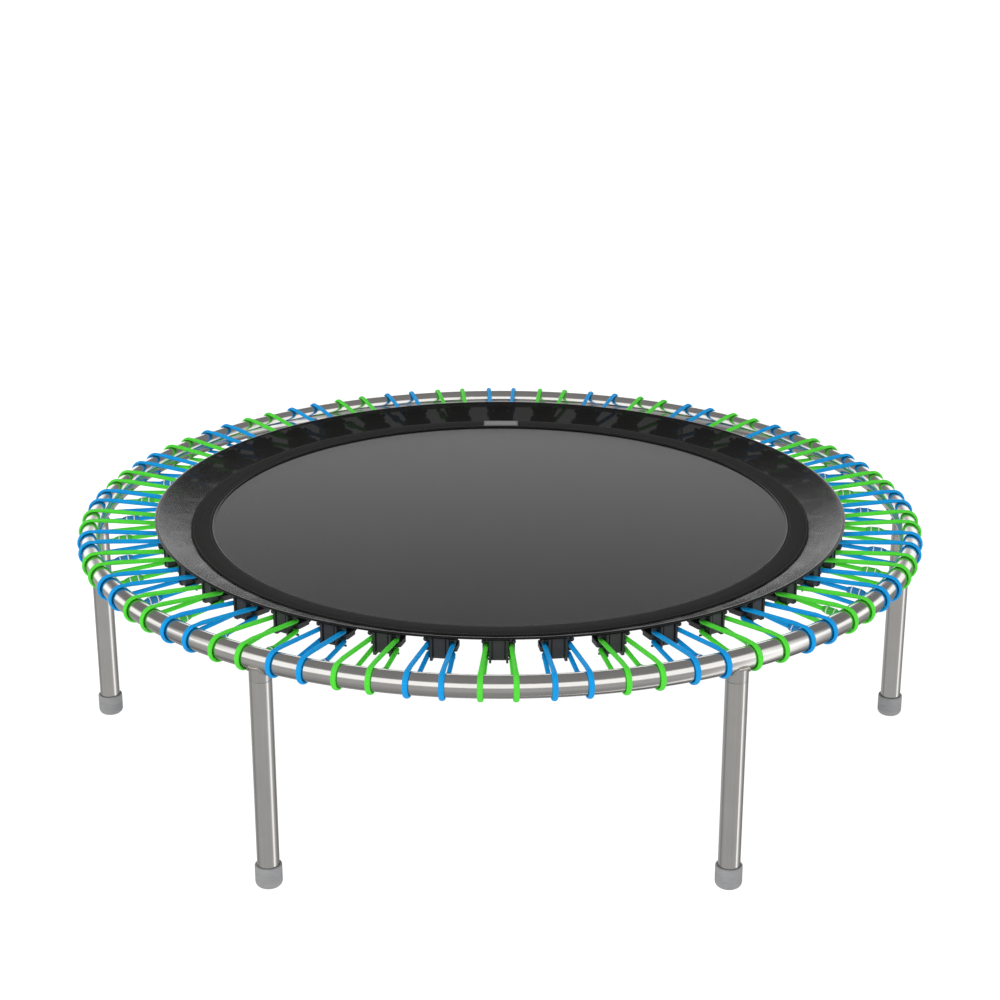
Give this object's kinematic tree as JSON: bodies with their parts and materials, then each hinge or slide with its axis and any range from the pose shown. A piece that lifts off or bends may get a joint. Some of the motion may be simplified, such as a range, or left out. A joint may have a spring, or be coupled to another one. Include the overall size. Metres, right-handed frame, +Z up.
{
  "type": "mini trampoline",
  "caption": "Round low fitness trampoline: a steel ring on short screw-in legs, with a mesh mat hung inside it in green and blue rubber rope rings.",
  "frame": {"origin": "on the floor under the centre of the frame ring", "axes": "+Z up; -Y is the front, where the first green rope ring is, and +Y the back, where the blank label is"},
  "size_m": [1.262, 1.262, 0.3514],
  "materials": {
    "frame_steel": "satin stainless tube",
    "socket_steel": "satin, welded and ground",
    "leg_steel": "satin stainless tube",
    "stud_steel": "zinc plated, turned",
    "foot_rubber": "matt grey rubber",
    "mesh_fabric": "woven polypropylene mesh, slight sheen",
    "border_webbing": "matt woven webbing",
    "skirt_film": "glossy coated collar, slightly see-through",
    "piping_cord": "bound edge",
    "label_cloth": "plain woven label, blank",
    "loop_webbing": "matt woven webbing",
    "clamp_plastic": "moulded, lightly textured",
    "rope_green": "braided cover over rubber",
    "rope_blue": "braided cover over rubber",
    "clip_green": "moulded sleeve",
    "clip_blue": "moulded sleeve",
    "band_white": "thin collar ring"
  },
  "bodies": {
    "frame": {"frame_ring": "frame_steel", "leg_sockets": "socket_steel", "rope_rings_green": "rope_green", "rope_rings_blue": "rope_blue", "rope_clips_green": "clip_green", "rope_clips_blue": "clip_blue", "clip_bands": "band_white"},
    "mat": {"jumping_mat": "mesh_fabric", "mat_border": "border_webbing", "mat_skirt": "skirt_film", "skirt_piping": "piping_cord", "border_piping": "piping_cord", "mat_label": "label_cloth", "mat_loops": "loop_webbing", "rope_clamps": "clamp_plastic"},
    "foot_1": {"foot_cap_1": "foot_rubber"},
    "leg_1": {"leg_tube_1": "leg_steel", "leg_stud_1": "stud_steel"},
    "foot_2": {"foot_cap_2": "foot_rubber"},
    "leg_2": {"leg_tube_2": "leg_steel", "leg_stud_2": "stud_steel"},
    "foot_3": {"foot_cap_3": "foot_rubber"},
    "leg_3": {"leg_tube_3": "leg_steel", "leg_stud_3": "stud_steel"},
    "foot_4": {"foot_cap_4": "foot_rubber"},
    "leg_4": {"leg_tube_4": "leg_steel", "leg_stud_4": "stud_steel"},
    "foot_5": {"foot_cap_5": "foot_rubber"},
    "leg_5": {"leg_tube_5": "leg_steel", "leg_stud_5": "stud_steel"},
    "foot_6": {"foot_cap_6": "foot_rubber"},
    "leg_6": {"leg_tube_6": "leg_steel", "leg_stud_6": "stud_steel"}
  },
  "joints": [
    {"name": "mat_bounce", "type": "slide", "parent": "frame", "child": "mat", "axis": [0, 0, 1], "range_m": [-0.1, 0.01], "stiffness_N_per_m": 6700, "springref_m": 0.0013, "deforming": ["rope_rings_green", "rope_rings_blue"]},
    {"name": "leg_1_travel", "type": "slide", "parent": "frame", "child": "foot_1", "axis": [0, 0, 1], "range_m": [-0.02, 0]},
    {"name": "leg_1_turn", "type": "hinge", "parent": "foot_1", "child": "leg_1", "pos_m": [0.61, 0, 0.15], "axis": [0, 0, 1], "range_deg": [-2881, 0]},
    {"name": "leg_2_travel", "type": "slide", "parent": "frame", "child": "foot_2", "axis": [0, 0, 1], "range_m": [-0.02, 0]},
    {"name": "leg_2_turn", "type": "hinge", "parent": "foot_2", "child": "leg_2", "pos_m": [0.305, 0.52828, 0.15], "axis": [0, 0, 1], "range_deg": [-2881, 0]},
    {"name": "leg_3_travel", "type": "slide", "parent": "frame", "child": "foot_3", "axis": [0, 0, 1], "range_m": [-0.02, 0]},
    {"name": "leg_3_turn", "type": "hinge", "parent": "foot_3", "child": "leg_3", "pos_m": [-0.305, 0.52828, 0.15], "axis": [0, 0, 1], "range_deg": [-2881, 0]},
    {"name": "leg_4_travel", "type": "slide", "parent": "frame", "child": "foot_4", "axis": [0, 0, 1], "range_m": [-0.02, 0]},
    {"name": "leg_4_turn", "type": "hinge", "parent": "foot_4", "child": "leg_4", "pos_m": [-0.61, 0, 0.15], "axis": [0, 0, 1], "range_deg": [-2881, 0]},
    {"name": "leg_5_travel", "type": "slide", "parent": "frame", "child": "foot_5", "axis": [0, 0, 1], "range_m": [-0.02, 0]},
    {"name": "leg_5_turn", "type": "hinge", "parent": "foot_5", "child": "leg_5", "pos_m": [-0.305, -0.52828, 0.15], "axis": [0, 0, 1], "range_deg": [-2881, 0]},
    {"name": "leg_6_travel", "type": "slide", "parent": "frame", "child": "foot_6", "axis": [0, 0, 1], "range_m": [-0.02, 0]},
    {"name": "leg_6_turn", "type": "hinge", "parent": "foot_6", "child": "leg_6", "pos_m": [0.305, -0.52828, 0.15], "axis": [0, 0, 1], "range_deg": [-2881, 0]}
  ],
  "couplings": [
    {"joint": "leg_1_turn", "follows": "leg_1_travel", "rad_per_m": 2513.3},
    {"joint": "leg_2_turn", "follows": "leg_2_travel", "rad_per_m": 2513.3},
    {"joint": "leg_3_turn", "follows": "leg_3_travel", "rad_per_m": 2513.3},
    {"joint": "leg_4_turn", "follows": "leg_4_travel", "rad_per_m": 2513.3},
    {"joint": "leg_5_turn", "follows": "leg_5_travel", "rad_per_m": 2513.3},
    {"joint": "leg_6_turn", "follows": "leg_6_travel", "rad_per_m": 2513.3}
  ]
}
